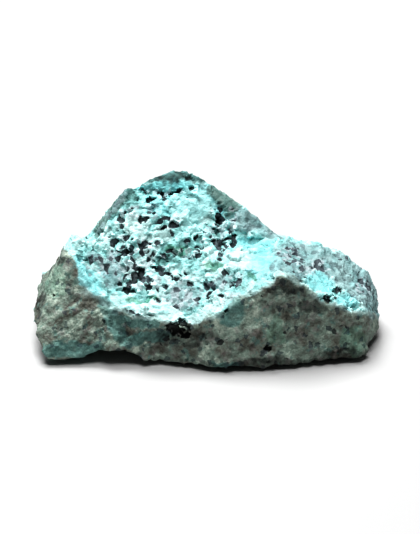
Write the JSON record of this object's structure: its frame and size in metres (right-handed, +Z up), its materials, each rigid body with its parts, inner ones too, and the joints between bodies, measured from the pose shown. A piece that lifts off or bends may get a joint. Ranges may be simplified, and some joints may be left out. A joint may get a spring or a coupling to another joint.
{
  "type": "raw turquoise nugget",
  "caption": "Single raw turquoise nugget, a rough broken lump with a peak, a thin spur and a blunt shoulder, resting on a small flat patch.",
  "frame": {"origin": "middle of the nugget's box, on the surface it rests on", "axes": "+X along the nugget from the thin spur to the blunt shoulder, -Y out of its tall grey front, +Z up"},
  "size_m": [0.0454, 0.0286, 0.019],
  "materials": {
    "turquoise": "dull broken stone, pale blue-green with dark matrix specks"
  },
  "bodies": {
    "root": {"nugget": "turquoise"}
  },
  "joints": []
}
